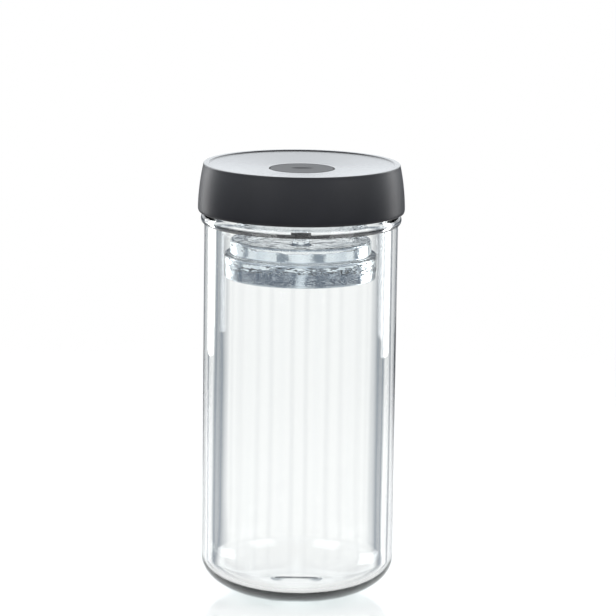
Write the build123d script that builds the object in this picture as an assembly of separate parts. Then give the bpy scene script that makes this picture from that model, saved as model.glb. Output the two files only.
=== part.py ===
from build123d import *
from math import asin, cos, degrees, radians, sin, sqrt
import os

# A fermentation jar: a glass jar with a threaded neck, a two-part screw lid with a
# one-way gas valve in its middle, and a glass weight that keeps the food down.
# Millimetres, +Z up, origin on the jar's axis in the plane that it stands on.

# Jar glass
JAR_DIAMETER = 100.0
GLASS_WALL = 3.0
BODY_HEIGHT = 195.8
BASE_CORNER_HEIGHT = 20.0
BASE_CORNER_REACH = 6.0
INNER_CORNER_HEIGHT = 15.0
BASE_THICKNESS = 5.0
FOOT_RING_WIDTH = 6.0
PUNT_RADIUS = 14.0
PUNT_DEPTH = 1.5
BEAD_HEIGHT = 5.4
BEAD_PROUD = 1.8
BEAD_SHOULDER = 2.0
NECK_SETBACK = 3.7
NECK_WALL = 3.2
NECK_HEIGHT = 18.0
INNER_SHOULDER_HEIGHT = 9.0
INNER_SHOULDER_RISE = 2.0
LIP_ROUNDING = 1.0

# Screw thread, shared by the neck and the lid
THREAD_STARTS = 3
THREAD_LEAD = 12.0
THREAD_DEPTH = 1.5
THREAD_ROOT_WIDTH = 2.6
THREAD_CREST_WIDTH = 1.0
THREAD_TURN_DEGREES = 150.0
THREAD_RUNOUT_DEGREES = 24.0
THREAD_END_SHARE = 0.08
THREAD_STATIONS = 13
THREAD_FOOT = 0.6
THREAD_CLEARANCE = 0.4
NECK_THREAD_DROP = 10.7

# Gasket
GASKET_THICKNESS = 2.1
GASKET_FIT = 0.2

# Threaded liner of the lid
LINER_WALL = 1.6
LINER_ROOF = 1.5
LINER_SKIRT_GAP = 3.2
LIP_CLEARANCE = 0.8
LIP_WALL = 1.1
LIP_DEPTH = 3.4
LINER_FLANGE_HEIGHT = 1.2
LINER_FLANGE_GAP = 0.45
LINER_CHAMFER = 0.6
KEY_COUNT = 12
KEY_WIDTH = 2.2
KEY_HEIGHT = 9.5
KEY_FIT = 0.35

# Cover of the lid
COVER_WALL = 1.6
COVER_KEY_SPACE = 2.05
COVER_TOP_INSET = 2.6
COVER_BULGE = 0.55
COVER_TOP = 1.7
SKIRT_GAP = 1.0
SKIRT_EDGE_INSET = 0.8
SKIRT_EDGE_HEIGHT = 2.0
RIM_RISE = 2.7
RIM_STEP = 0.6
RIM_WIDTH = 2.8
RIM_ROUNDING = 0.7
SNAP_HEIGHT = 1.0
SNAP_REACH = 0.8
SNAP_FIT = 0.1

# Valve in the middle of the lid
CAP_DIAMETER = 33.0
CAP_GAP = 0.4
CAP_THICKNESS = 2.0
CAP_SKIRT_WALL = 1.6
CAP_EDGE_ROUNDING = 0.5
CAP_DIMPLE_LENGTH = 12.0
CAP_DIMPLE_WIDTH = 8.0
CAP_DIMPLE_DEPTH = 0.6
CAP_NOTCHES = 6
CAP_NOTCH_WIDTH = 3.0
CAP_NOTCH_HEIGHT = 1.2
WELL_WALL = 1.7
WELL_FLOOR = 1.7
VENT_COUNT = 6
VENT_RADIUS = 1.2
VENT_COVER = 2.7
MEMBRANE_GAP = 2.5
MEMBRANE_EDGE = 0.7
MEMBRANE_DISH = 0.7
MEMBRANE_BOSS_RADIUS = 4.0
MEMBRANE_BOSS_HEIGHT = 2.1
MEMBRANE_STEM_RADIUS = 2.0
MEMBRANE_BULB_REACH = 0.7
MEMBRANE_BULB_LENGTH = 3.4
MEMBRANE_LIFT = 0.6
MEMBRANE_ROOM = 0.3
RUNNING_FIT = 0.08

# Hub under the well and the holder that hangs on it
HUB_BULB_GAP = 0.6
HUB_WALL = 2.7
HUB_LENGTH = 9.0
HUB_GROOVE_DEPTH = 0.7
HUB_GROOVE_HEIGHT = 2.0
HUB_GROOVE_ABOVE_END = 2.2
HOLDER_COLLAR_WALL = 2.2
HOLDER_COLLAR_TOP_GAP = 0.4
HOLDER_FLOOR = 2.0
HOLDER_STUB_WALL = 1.12
HOLDER_STUB_LENGTH = 14.8
HOLDER_TAPER_HEIGHT = 3.0
HOLDER_BEAD_FIT = 0.15

# Glass weight
WEIGHT_MOUTH_GAP = 3.3
WEIGHT_STEP_WIDTH = 3.3
WEIGHT_LOWER_HEIGHT = 12.4
WEIGHT_UPPER_HEIGHT = 7.4
WEIGHT_DISH_RIM = 6.5
WEIGHT_DISH_DEPTH = 3.5
WEIGHT_DISH_SLOPE = 3.0
WEIGHT_EDGE_ROUNDING = 1.6
WEIGHT_KNOB_RADIUS = 4.0
WEIGHT_KNOB_FOOT_WIDTH = 2.5
WEIGHT_KNOB_FOOT_HEIGHT = 2.5
WEIGHT_HOLDER_GAP = 3.8
KNOB_GRIP_LENGTH = 8.0
KNOB_TIP_GAP = 0.3

# Radii of the jar and its thread
JAR_RADIUS = JAR_DIAMETER / 2
FOOT_RADIUS = PUNT_RADIUS + FOOT_RING_WIDTH
BASE_CORNER_WIDTH = JAR_RADIUS - FOOT_RADIUS + BASE_CORNER_REACH
NECK_RADIUS = JAR_RADIUS - NECK_SETBACK
MOUTH_RADIUS = NECK_RADIUS - NECK_WALL
THREAD_CREST_RADIUS = NECK_RADIUS + THREAD_DEPTH
THREAD_PITCH = THREAD_LEAD / THREAD_STARTS

# Radii of the lid
LINER_BORE_RADIUS = THREAD_CREST_RADIUS + THREAD_CLEARANCE
LINER_RADIUS = LINER_BORE_RADIUS + LINER_WALL
COVER_RADIUS = LINER_RADIUS + COVER_KEY_SPACE + COVER_WALL
COVER_TOP_RADIUS = COVER_RADIUS - COVER_TOP_INSET
LIP_OUTER_RADIUS = MOUTH_RADIUS - LIP_CLEARANCE
LIP_INNER_RADIUS = LIP_OUTER_RADIUS - LIP_WALL

# Radii and depth of the valve
CAP_RADIUS = CAP_DIAMETER / 2
CAP_INNER_RADIUS = CAP_RADIUS - CAP_SKIRT_WALL
WELL_RADIUS = CAP_RADIUS + CAP_GAP
WELL_DEPTH = CAP_THICKNESS + MEMBRANE_ROOM + MEMBRANE_LIFT + MEMBRANE_BOSS_HEIGHT
MEMBRANE_RADIUS = CAP_INNER_RADIUS - MEMBRANE_GAP
MEMBRANE_BULB_RADIUS = MEMBRANE_STEM_RADIUS + MEMBRANE_BULB_REACH
VENT_CIRCLE_RADIUS = MEMBRANE_RADIUS - VENT_COVER - VENT_RADIUS

# Radii of the hub, the holder and the weight
HUB_BORE_RADIUS = MEMBRANE_BULB_RADIUS + HUB_BULB_GAP
HUB_RADIUS = HUB_BORE_RADIUS + HUB_WALL
HOLDER_BORE_RADIUS = WEIGHT_KNOB_RADIUS + RUNNING_FIT
HOLDER_STUB_RADIUS = HOLDER_BORE_RADIUS + HOLDER_STUB_WALL
WEIGHT_RADIUS = MOUTH_RADIUS - WEIGHT_MOUTH_GAP
WEIGHT_STEP_RADIUS = WEIGHT_RADIUS - WEIGHT_STEP_WIDTH
WEIGHT_DISH_RADIUS = WEIGHT_STEP_RADIUS - WEIGHT_DISH_RIM
WEIGHT_KNOB_FOOT_RADIUS = WEIGHT_KNOB_RADIUS + WEIGHT_KNOB_FOOT_WIDTH

# Levels, worked out from the base upwards
BEAD_TOP_Z = BODY_HEIGHT + BEAD_HEIGHT
MOUTH_Z = BEAD_TOP_Z + NECK_HEIGHT
GASKET_TOP_Z = MOUTH_Z + GASKET_THICKNESS
LINER_TOP_Z = GASKET_TOP_Z + LINER_ROOF
LID_TOP_Z = LINER_TOP_Z + COVER_TOP
RIM_Z = LID_TOP_Z + RIM_RISE
SKIRT_Z = BEAD_TOP_Z + SKIRT_GAP
LINER_BOTTOM_Z = BEAD_TOP_Z + LINER_SKIRT_GAP
WELL_FLOOR_Z = LID_TOP_Z - WELL_DEPTH
HUB_TOP_Z = WELL_FLOOR_Z - WELL_FLOOR
HUB_END_Z = HUB_TOP_Z - HUB_LENGTH
HOLDER_SHOULDER_Z = HUB_END_Z - HOLDER_FLOOR
HOLDER_END_Z = HOLDER_SHOULDER_Z - HOLDER_STUB_LENGTH
WEIGHT_TOP_Z = HOLDER_END_Z - WEIGHT_HOLDER_GAP
WEIGHT_STEP_Z = WEIGHT_TOP_Z - WEIGHT_UPPER_HEIGHT
WEIGHT_BOTTOM_Z = WEIGHT_STEP_Z - WEIGHT_LOWER_HEIGHT
NECK_THREAD_Z = MOUTH_Z - NECK_THREAD_DROP


def profile_face(*edges):
    """One closed outline in the XZ plane, X being the radius and Y the height."""
    return Plane.XZ * make_face(edges)


def turned(*edges):
    """The solid that the outline sweeps about the Z axis."""
    return revolve(profile_face(*edges), axis=Axis.Z, revolution_arc=360)


def around(count, piece, first=0.0):
    """Copies of a piece, evenly spaced about the Z axis."""
    return [Rot(0, 0, first + 360 / count * index) * piece for index in range(count)]


def thread_ridge(root_radius, direction, first_z):
    """One thread start: a trapezoid that climbs the helix and runs out into the wall at both ends.

    The direction is +1 for a ridge that stands out of a neck and -1 for one that points
    into a bore. Each station is one trapezoid in the plane through the Z axis.
    """
    flank = (THREAD_ROOT_WIDTH - THREAD_CREST_WIDTH) / 2 / THREAD_DEPTH
    foot_half = THREAD_ROOT_WIDTH / 2 + flank * THREAD_FOOT
    stations = []
    for index in range(THREAD_STATIONS):
        turn = THREAD_TURN_DEGREES * index / (THREAD_STATIONS - 1)
        to_end = min(turn, THREAD_TURN_DEGREES - turn)
        share = min(1.0, THREAD_END_SHARE + (1 - THREAD_END_SHARE) * to_end / THREAD_RUNOUT_DEGREES)
        height = THREAD_DEPTH * share
        crest_half = THREAD_ROOT_WIDTH / 2 - flank * height
        angle = radians(turn)
        level = first_z + THREAD_LEAD * turn / 360
        foot = root_radius - direction * THREAD_FOOT
        crest = root_radius + direction * height
        plane = Plane(
            origin=(0, 0, level),
            x_dir=(cos(angle), sin(angle), 0),
            z_dir=(sin(angle), -cos(angle), 0),
        )
        outline = Polyline(
            (foot, -foot_half),
            (crest, -crest_half),
            (crest, crest_half),
            (foot, foot_half),
            close=True,
        )
        stations.append(plane * make_face(outline))
    return loft(stations)


def jar_glass():
    """The blown jar: rounded base with a shallow punt, bead, threaded neck and fire-polished lip."""
    inner_radius = JAR_RADIUS - GLASS_WALL
    corner_cut = BASE_CORNER_REACH / BASE_CORNER_WIDTH
    corner_z = BASE_CORNER_HEIGHT * sqrt(1 - corner_cut**2)
    corner_start = 270 + degrees(asin(corner_cut))
    floor_z = BASE_THICKNESS
    inner_corner_z = floor_z + INNER_CORNER_HEIGHT
    inner_foot_radius = FOOT_RADIUS - GLASS_WALL
    bead_crest = JAR_RADIUS + BEAD_PROUD
    bead_mid_z = BODY_HEIGHT + BEAD_HEIGHT / 2
    neck_foot_z = BEAD_TOP_Z + BEAD_SHOULDER
    shoulder_top_z = neck_foot_z + INNER_SHOULDER_RISE
    shoulder_low_z = shoulder_top_z - INNER_SHOULDER_HEIGHT
    shoulder_mid = ((inner_radius + MOUTH_RADIUS) / 2, (shoulder_low_z + shoulder_top_z) / 2)
    lip = min(LIP_ROUNDING, NECK_WALL / 3)
    outer = [
        ThreePointArc((0, PUNT_DEPTH), (PUNT_RADIUS / 2, PUNT_DEPTH * 3 / 4), (PUNT_RADIUS, 0)),
        Line((PUNT_RADIUS, 0), (FOOT_RADIUS, 0)),
        EllipticalCenterArc(
            (JAR_RADIUS - BASE_CORNER_WIDTH, corner_z),
            BASE_CORNER_WIDTH,
            BASE_CORNER_HEIGHT,
            start_angle=corner_start,
            arc_size=360 - corner_start,
        ),
        Line((JAR_RADIUS, corner_z), (JAR_RADIUS, BODY_HEIGHT)),
        ThreePointArc((JAR_RADIUS, BODY_HEIGHT), (bead_crest, bead_mid_z), (JAR_RADIUS, BEAD_TOP_Z)),
        Line((JAR_RADIUS, BEAD_TOP_Z), (NECK_RADIUS, neck_foot_z)),
        Line((NECK_RADIUS, neck_foot_z), (NECK_RADIUS, MOUTH_Z - lip)),
        RadiusArc((NECK_RADIUS, MOUTH_Z - lip), (NECK_RADIUS - lip, MOUTH_Z), -lip),
        Line((NECK_RADIUS - lip, MOUTH_Z), (MOUTH_RADIUS + lip, MOUTH_Z)),
    ]
    inner = [
        RadiusArc((MOUTH_RADIUS + lip, MOUTH_Z), (MOUTH_RADIUS, MOUTH_Z - lip), -lip),
        Line((MOUTH_RADIUS, MOUTH_Z - lip), (MOUTH_RADIUS, shoulder_top_z)),
        TangentArc([(MOUTH_RADIUS, shoulder_top_z), shoulder_mid], tangent=(0, -1)),
        TangentArc([(inner_radius, shoulder_low_z), shoulder_mid], tangent=(0, 1)),
        Line((inner_radius, shoulder_low_z), (inner_radius, inner_corner_z)),
        EllipticalCenterArc(
            (inner_foot_radius, inner_corner_z),
            inner_radius - inner_foot_radius,
            INNER_CORNER_HEIGHT,
            start_angle=270,
            arc_size=90,
        ),
        Line((inner_foot_radius, floor_z), (0, floor_z)),
        Line((0, floor_z), (0, PUNT_DEPTH)),
    ]
    body = turned(*outer, *inner)
    ridge = thread_ridge(NECK_RADIUS, 1, NECK_THREAD_Z)
    for copy in around(THREAD_STARTS, ridge):
        body += copy
    return body


def lid_gasket():
    """Flat silicone ring between the liner's roof and the glass."""
    inner = LIP_OUTER_RADIUS + GASKET_FIT
    outer = LINER_BORE_RADIUS - GASKET_FIT
    return turned(
        Polyline(
            (inner, MOUTH_Z),
            (outer, MOUTH_Z),
            (outer, GASKET_TOP_Z),
            (inner, GASKET_TOP_Z),
            close=True,
        )
    )


def cover_radius_at(level):
    """Outer radius of the cover's barrel-shaped skirt at a height: a parabola through three points."""
    bottom_z = SKIRT_Z + SKIRT_EDGE_HEIGHT
    share = (level - bottom_z) / (RIM_Z - RIM_ROUNDING - bottom_z)
    straight = COVER_RADIUS - COVER_TOP_INSET * share
    return straight + COVER_BULGE * 4 * share * (1 - share)


def lid_liner():
    """The threaded inner part of the lid: bore, roof, centring lip, bottom flange and drive keys."""
    flange_radius = cover_radius_at(LINER_BOTTOM_Z) - COVER_WALL - LINER_FLANGE_GAP
    flange_top_z = LINER_BOTTOM_Z + LINER_FLANGE_HEIGHT
    key_top_z = flange_top_z + KEY_HEIGHT
    key_radius = cover_radius_at(key_top_z) - COVER_WALL - KEY_FIT
    lip_end_z = GASKET_TOP_Z - LIP_DEPTH - GASKET_THICKNESS
    outline = Polyline(
        (LINER_BORE_RADIUS, LINER_BOTTOM_Z),
        (flange_radius, LINER_BOTTOM_Z),
        (flange_radius, flange_top_z),
        (LINER_RADIUS, flange_top_z),
        (LINER_RADIUS, LINER_TOP_Z - LINER_CHAMFER),
        (LINER_RADIUS - LINER_CHAMFER, LINER_TOP_Z),
        (LIP_INNER_RADIUS, LINER_TOP_Z),
        (LIP_INNER_RADIUS, lip_end_z),
        (LIP_OUTER_RADIUS - LIP_WALL / 2, lip_end_z),
        (LIP_OUTER_RADIUS, lip_end_z + LIP_WALL),
        (LIP_OUTER_RADIUS, GASKET_TOP_Z),
        (LINER_BORE_RADIUS, GASKET_TOP_Z),
        close=True,
    )
    body = turned(outline)
    key = Pos((LINER_RADIUS + key_radius) / 2 - LINER_WALL / 4, 0, flange_top_z) * Box(
        key_radius - LINER_RADIUS + LINER_WALL / 2,
        KEY_WIDTH,
        KEY_HEIGHT,
        align=(Align.CENTER, Align.CENTER, Align.MIN),
    )
    for copy in around(KEY_COUNT, key):
        body += copy
    ridge = thread_ridge(LINER_BORE_RADIUS, -1, NECK_THREAD_Z - THREAD_PITCH / 2)
    for copy in around(THREAD_STARTS, ridge):
        body += copy
    return body


def lid_cover():
    """The outer cover: barrel skirt, raised rim, dished top, valve well with vents and the hub."""
    bottom_z = SKIRT_Z + SKIRT_EDGE_HEIGHT
    crest_z = RIM_Z - RIM_ROUNDING
    mid_z = (bottom_z + crest_z) / 2
    edge_radius = COVER_RADIUS - SKIRT_EDGE_INSET
    ceiling_z = LINER_TOP_Z
    inside_top = cover_radius_at(ceiling_z) - COVER_WALL
    inside_bottom = edge_radius - COVER_WALL / 2
    well_outer = WELL_RADIUS + WELL_WALL
    rim_inner = COVER_TOP_RADIUS - RIM_WIDTH
    dish_outer = rim_inner - RIM_ROUNDING
    dish_rise = RIM_RISE - RIM_STEP
    dish_share = (LIP_INNER_RADIUS - well_outer) / (dish_outer - well_outer)
    groove_bottom = HUB_END_Z + HUB_GROOVE_ABOVE_END
    groove_top = groove_bottom + HUB_GROOVE_HEIGHT
    groove_radius = HUB_RADIUS - HUB_GROOVE_DEPTH
    skin = [
        ThreePointArc(
            (COVER_RADIUS, bottom_z), (cover_radius_at(mid_z), mid_z), (COVER_TOP_RADIUS, crest_z)
        ),
        RadiusArc((COVER_TOP_RADIUS, crest_z), (COVER_TOP_RADIUS - RIM_ROUNDING, RIM_Z), -RIM_ROUNDING),
        Line((COVER_TOP_RADIUS - RIM_ROUNDING, RIM_Z), (rim_inner, RIM_Z)),
        Line((rim_inner, RIM_Z), (dish_outer, LID_TOP_Z + dish_rise)),
        Line((dish_outer, LID_TOP_Z + dish_rise), (well_outer, LID_TOP_Z)),
        Line((well_outer, LID_TOP_Z), (WELL_RADIUS, LID_TOP_Z)),
        Line((WELL_RADIUS, LID_TOP_Z), (WELL_RADIUS, WELL_FLOOR_Z)),
        Line((WELL_RADIUS, WELL_FLOOR_Z), (0, WELL_FLOOR_Z)),
        Line((0, WELL_FLOOR_Z), (0, HUB_TOP_Z)),
    ]
    underside = [
        Polyline(
            (0, HUB_TOP_Z),
            (HUB_BORE_RADIUS, HUB_TOP_Z),
            (HUB_BORE_RADIUS, HUB_END_Z),
            (groove_radius, HUB_END_Z),
            (HUB_RADIUS, HUB_END_Z + HUB_GROOVE_DEPTH),
            (HUB_RADIUS, groove_bottom),
            (groove_radius, groove_bottom + HUB_GROOVE_DEPTH),
            (groove_radius, groove_top - HUB_GROOVE_DEPTH),
            (HUB_RADIUS, groove_top),
            (HUB_RADIUS, HUB_TOP_Z),
            (well_outer, HUB_TOP_Z),
            (well_outer, ceiling_z),
            (LIP_INNER_RADIUS, ceiling_z + dish_rise * dish_share),
            (LIP_INNER_RADIUS, ceiling_z),
            (inside_top, ceiling_z),
        ),
        ThreePointArc(
            (inside_top, ceiling_z),
            (cover_radius_at((ceiling_z + bottom_z) / 2) - COVER_WALL, (ceiling_z + bottom_z) / 2),
            (COVER_RADIUS - COVER_WALL, bottom_z),
        ),
        Line((COVER_RADIUS - COVER_WALL, bottom_z), (inside_bottom, SKIRT_Z)),
        Line((inside_bottom, SKIRT_Z), (edge_radius, SKIRT_Z)),
        EllipticalCenterArc(
            (edge_radius, bottom_z), SKIRT_EDGE_INSET, SKIRT_EDGE_HEIGHT, start_angle=270, arc_size=90
        ),
    ]
    body = turned(*skin, *underside)

    # Snap bead that holds the liner's flange from below
    snap_z = LINER_BOTTOM_Z - SNAP_HEIGHT - SNAP_FIT
    snap_tip = COVER_RADIUS - COVER_WALL - SNAP_REACH
    snap_foot = COVER_RADIUS - COVER_WALL / 2
    snap = turned(
        Polyline(
            (snap_foot, snap_z - SNAP_HEIGHT),
            (snap_tip, snap_z + SNAP_HEIGHT / 2),
            (snap_tip, snap_z + SNAP_HEIGHT),
            (snap_foot, snap_z + SNAP_HEIGHT),
            close=True,
        )
    )
    body += snap

    # Ribs beside the liner's keys, which pass the turning force to them
    rib_bottom = LINER_BOTTOM_Z + LINER_FLANGE_HEIGHT + KEY_FIT
    rib_inner = LINER_RADIUS + KEY_FIT
    rib_outer = cover_radius_at(rib_bottom + KEY_HEIGHT) - COVER_WALL / 2
    rib = Pos((rib_inner + rib_outer) / 2, 0, rib_bottom) * Box(
        rib_outer - rib_inner, KEY_WIDTH, KEY_HEIGHT, align=(Align.CENTER, Align.CENTER, Align.MIN)
    )
    rib_angle = degrees((KEY_WIDTH + KEY_FIT) / rib_inner)
    for copy in around(KEY_COUNT, rib, rib_angle):
        body += copy

    # Vents through the floor of the well, and the hole for the membrane's stem
    vent = Pos(VENT_CIRCLE_RADIUS, 0, WELL_FLOOR_Z) * Cylinder(VENT_RADIUS, 4 * WELL_FLOOR)
    for copy in around(VENT_COUNT, vent):
        body -= copy
    body -= Pos(0, 0, WELL_FLOOR_Z) * Cylinder(MEMBRANE_STEM_RADIUS + RUNNING_FIT, 4 * WELL_FLOOR)
    return body


def valve_membrane():
    """Silicone umbrella: its lip covers the vents, and its bulb stops it below the floor."""
    lip_z = WELL_FLOOR_Z
    boss_top = lip_z + MEMBRANE_BOSS_HEIGHT
    bulb_top = HUB_TOP_Z - MEMBRANE_LIFT - RUNNING_FIT
    bulb_end = bulb_top - MEMBRANE_BULB_LENGTH
    return turned(
        Polyline(
            (0, boss_top),
            (MEMBRANE_BOSS_RADIUS, boss_top),
            (MEMBRANE_BOSS_RADIUS + MEMBRANE_DISH, lip_z + MEMBRANE_DISH + MEMBRANE_EDGE),
            (MEMBRANE_RADIUS, lip_z + MEMBRANE_EDGE),
            (MEMBRANE_RADIUS, lip_z),
            (MEMBRANE_RADIUS - MEMBRANE_EDGE, lip_z),
            (MEMBRANE_BOSS_RADIUS, lip_z + MEMBRANE_DISH),
            (MEMBRANE_BOSS_RADIUS - MEMBRANE_DISH, lip_z),
            (MEMBRANE_STEM_RADIUS, lip_z),
            (MEMBRANE_STEM_RADIUS, bulb_top),
            (MEMBRANE_BULB_RADIUS, bulb_top),
            (MEMBRANE_BULB_RADIUS, bulb_top - MEMBRANE_BULB_LENGTH / 3),
            (MEMBRANE_STEM_RADIUS / 2, bulb_end),
            (0, bulb_end),
            close=True,
        )
    )


def valve_cap():
    """The visible disc: it covers the membrane, stands on the well's floor and lets gas out below."""
    under_z = LID_TOP_Z - CAP_THICKNESS
    body = turned(
        Line((0, LID_TOP_Z), (CAP_RADIUS - CAP_EDGE_ROUNDING, LID_TOP_Z)),
        RadiusArc(
            (CAP_RADIUS - CAP_EDGE_ROUNDING, LID_TOP_Z),
            (CAP_RADIUS, LID_TOP_Z - CAP_EDGE_ROUNDING),
            CAP_EDGE_ROUNDING,
        ),
        Polyline(
            (CAP_RADIUS, LID_TOP_Z - CAP_EDGE_ROUNDING),
            (CAP_RADIUS, WELL_FLOOR_Z),
            (CAP_INNER_RADIUS, WELL_FLOOR_Z),
            (CAP_INNER_RADIUS, under_z),
            (0, under_z),
            (0, LID_TOP_Z),
        ),
    )
    notch = Pos(CAP_RADIUS, 0, WELL_FLOOR_Z) * Box(
        CAP_SKIRT_WALL * 4,
        CAP_NOTCH_WIDTH,
        CAP_NOTCH_HEIGHT,
        align=(Align.CENTER, Align.CENTER, Align.MIN),
    )
    for copy in around(CAP_NOTCHES, notch):
        body -= copy

    # Shallow dimple for the fingertip: a ball sunk in the middle and stretched to an oval
    ball_radius = (CAP_DIMPLE_WIDTH**2 / 4 + CAP_DIMPLE_DEPTH**2) / (2 * CAP_DIMPLE_DEPTH)
    ball = Pos(0, 0, LID_TOP_Z + ball_radius - CAP_DIMPLE_DEPTH) * Sphere(ball_radius)
    stretch = (CAP_DIMPLE_LENGTH - CAP_DIMPLE_WIDTH) / 2
    body -= Pos(-stretch, 0, 0) * ball
    body -= Pos(stretch, 0, 0) * ball
    return body


def weight_holder():
    """The soft holder: a collar that clips round the hub and a stub that grips the weight's knob."""
    collar_inner = HUB_RADIUS + RUNNING_FIT
    collar_outer = HUB_RADIUS + HOLDER_COLLAR_WALL
    collar_top = HUB_TOP_Z - HOLDER_COLLAR_TOP_GAP
    hub_seat = HUB_END_Z - HOLDER_COLLAR_TOP_GAP
    bore_end = HOLDER_END_Z + KNOB_GRIP_LENGTH + KNOB_TIP_GAP
    bead_bottom = HUB_END_Z + HUB_GROOVE_ABOVE_END + HOLDER_BEAD_FIT
    bead_top = bead_bottom + HUB_GROOVE_HEIGHT - 2 * HOLDER_BEAD_FIT
    bead_reach = HUB_GROOVE_DEPTH - HOLDER_BEAD_FIT
    bead_radius = HUB_RADIUS - bead_reach
    taper_z = HOLDER_SHOULDER_Z - HOLDER_TAPER_HEIGHT
    return turned(
        Polyline(
            (0, hub_seat),
            (collar_inner, hub_seat),
            (collar_inner, bead_bottom),
            (bead_radius, bead_bottom + bead_reach),
            (bead_radius, bead_top - bead_reach),
            (collar_inner, bead_top),
            (collar_inner, collar_top),
            (collar_outer, collar_top),
            (collar_outer, HOLDER_SHOULDER_Z),
            (HOLDER_STUB_RADIUS, taper_z),
            (HOLDER_STUB_RADIUS, HOLDER_END_Z),
            (HOLDER_BORE_RADIUS, HOLDER_END_Z),
            (HOLDER_BORE_RADIUS, bore_end),
            (0, bore_end),
            close=True,
        )
    )


def glass_weight():
    """Pressed glass weight: two round steps, a dished top and the knob in its middle."""
    lower = WEIGHT_RADIUS
    upper = WEIGHT_STEP_RADIUS
    edge = WEIGHT_EDGE_ROUNDING
    dish = WEIGHT_DISH_RADIUS
    dish_floor = WEIGHT_TOP_Z - WEIGHT_DISH_DEPTH
    dish_floor_radius = dish - WEIGHT_DISH_SLOPE
    knob_top = HOLDER_END_Z + KNOB_GRIP_LENGTH
    knob_foot_z = dish_floor + WEIGHT_KNOB_FOOT_HEIGHT
    tip = WEIGHT_KNOB_RADIUS / 2
    foot_diagonal = 1 - 1 / sqrt(2)
    return turned(
        Line((0, WEIGHT_BOTTOM_Z), (lower - edge, WEIGHT_BOTTOM_Z)),
        RadiusArc((lower - edge, WEIGHT_BOTTOM_Z), (lower, WEIGHT_BOTTOM_Z + edge), -edge),
        Line((lower, WEIGHT_BOTTOM_Z + edge), (lower, WEIGHT_STEP_Z - edge)),
        RadiusArc((lower, WEIGHT_STEP_Z - edge), (lower - edge, WEIGHT_STEP_Z), -edge),
        Line((lower - edge, WEIGHT_STEP_Z), (upper, WEIGHT_STEP_Z)),
        Line((upper, WEIGHT_STEP_Z), (upper, WEIGHT_TOP_Z - edge)),
        RadiusArc((upper, WEIGHT_TOP_Z - edge), (upper - edge, WEIGHT_TOP_Z), -edge),
        Line((upper - edge, WEIGHT_TOP_Z), (dish, WEIGHT_TOP_Z)),
        Line((dish, WEIGHT_TOP_Z), (dish_floor_radius, dish_floor)),
        Line((dish_floor_radius, dish_floor), (WEIGHT_KNOB_FOOT_RADIUS, dish_floor)),
        ThreePointArc(
            (WEIGHT_KNOB_FOOT_RADIUS, dish_floor),
            (
                WEIGHT_KNOB_RADIUS + WEIGHT_KNOB_FOOT_WIDTH * foot_diagonal,
                dish_floor + WEIGHT_KNOB_FOOT_HEIGHT * foot_diagonal,
            ),
            (WEIGHT_KNOB_RADIUS, knob_foot_z),
        ),
        Line((WEIGHT_KNOB_RADIUS, knob_foot_z), (WEIGHT_KNOB_RADIUS, knob_top - tip)),
        RadiusArc((WEIGHT_KNOB_RADIUS, knob_top - tip), (WEIGHT_KNOB_RADIUS - tip, knob_top), -tip),
        Line((WEIGHT_KNOB_RADIUS - tip, knob_top), (0, knob_top)),
        Line((0, knob_top), (0, WEIGHT_BOTTOM_Z)),
    )


PIECES = {
    "jar_glass": jar_glass,
    "lid_cover": lid_cover,
    "lid_liner": lid_liner,
    "lid_gasket": lid_gasket,
    "valve_cap": valve_cap,
    "valve_membrane": valve_membrane,
    "weight_holder": weight_holder,
    "glass_weight": glass_weight,
}

os.makedirs("parts", exist_ok=True)
for name, build in PIECES.items():
    piece = build()
    export_step(piece, f"parts/{name}.step")
    print(name, "volume", round(piece.volume), "valid", piece.is_valid)
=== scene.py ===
import math
from types import SimpleNamespace

import bpy
import numpy as np
from mathutils import Matrix, Vector


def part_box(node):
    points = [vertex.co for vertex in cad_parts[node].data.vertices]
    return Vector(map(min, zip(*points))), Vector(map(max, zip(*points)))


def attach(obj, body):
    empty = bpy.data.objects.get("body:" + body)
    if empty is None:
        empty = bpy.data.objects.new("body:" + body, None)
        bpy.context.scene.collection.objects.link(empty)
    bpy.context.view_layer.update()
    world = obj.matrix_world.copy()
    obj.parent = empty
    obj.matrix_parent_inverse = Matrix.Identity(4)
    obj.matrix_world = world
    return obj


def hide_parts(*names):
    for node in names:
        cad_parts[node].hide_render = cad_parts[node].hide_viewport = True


bl_info = {
    "name": "Fermentation jar",
    "version": (1, 0, 0),
    "blender": (4, 5, 0),
    "location": "View3D > Sidebar > Jar",
    "description": "Builds a glass fermentation jar with a valve lid and a glass weight",
    "category": "Add Mesh",
}

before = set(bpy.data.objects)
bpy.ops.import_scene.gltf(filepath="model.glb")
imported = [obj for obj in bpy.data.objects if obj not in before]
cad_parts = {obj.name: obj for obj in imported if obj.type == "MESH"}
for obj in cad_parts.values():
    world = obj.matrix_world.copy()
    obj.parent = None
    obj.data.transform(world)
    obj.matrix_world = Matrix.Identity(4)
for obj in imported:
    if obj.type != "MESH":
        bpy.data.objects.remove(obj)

MM = 0.001
FULL_TURN = 2 * math.pi
DEGREE = math.pi / 180
SAME = 1e-6  # metres, within which a point counts as on its wall
ON_AXIS = 1e-9
SEGMENTS = 288
ARC_STEP = math.radians(9)
FINE_ROWS = 0.22 * MM  # between the rows of a thread or a dimple
SUPPORT = 0.12 * MM  # from a corner to the point that keeps its shading short
FEATURE_EDGE = math.radians(0.02)
SHARP_ANGLE = math.radians(38)
JAR_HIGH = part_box("jar_glass")[1]
COVER_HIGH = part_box("lid_cover")[1]
CAP_LOW, CAP_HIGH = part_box("valve_cap")

THREAD_STARTS = 3
THREAD_REACH = math.radians(150)
THREAD_RUN_OUT = math.radians(24)
THREAD_END = 0.08  # share of its height that a thread has at its very ends
KEYS = 12
NOTCHES = 6

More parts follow.
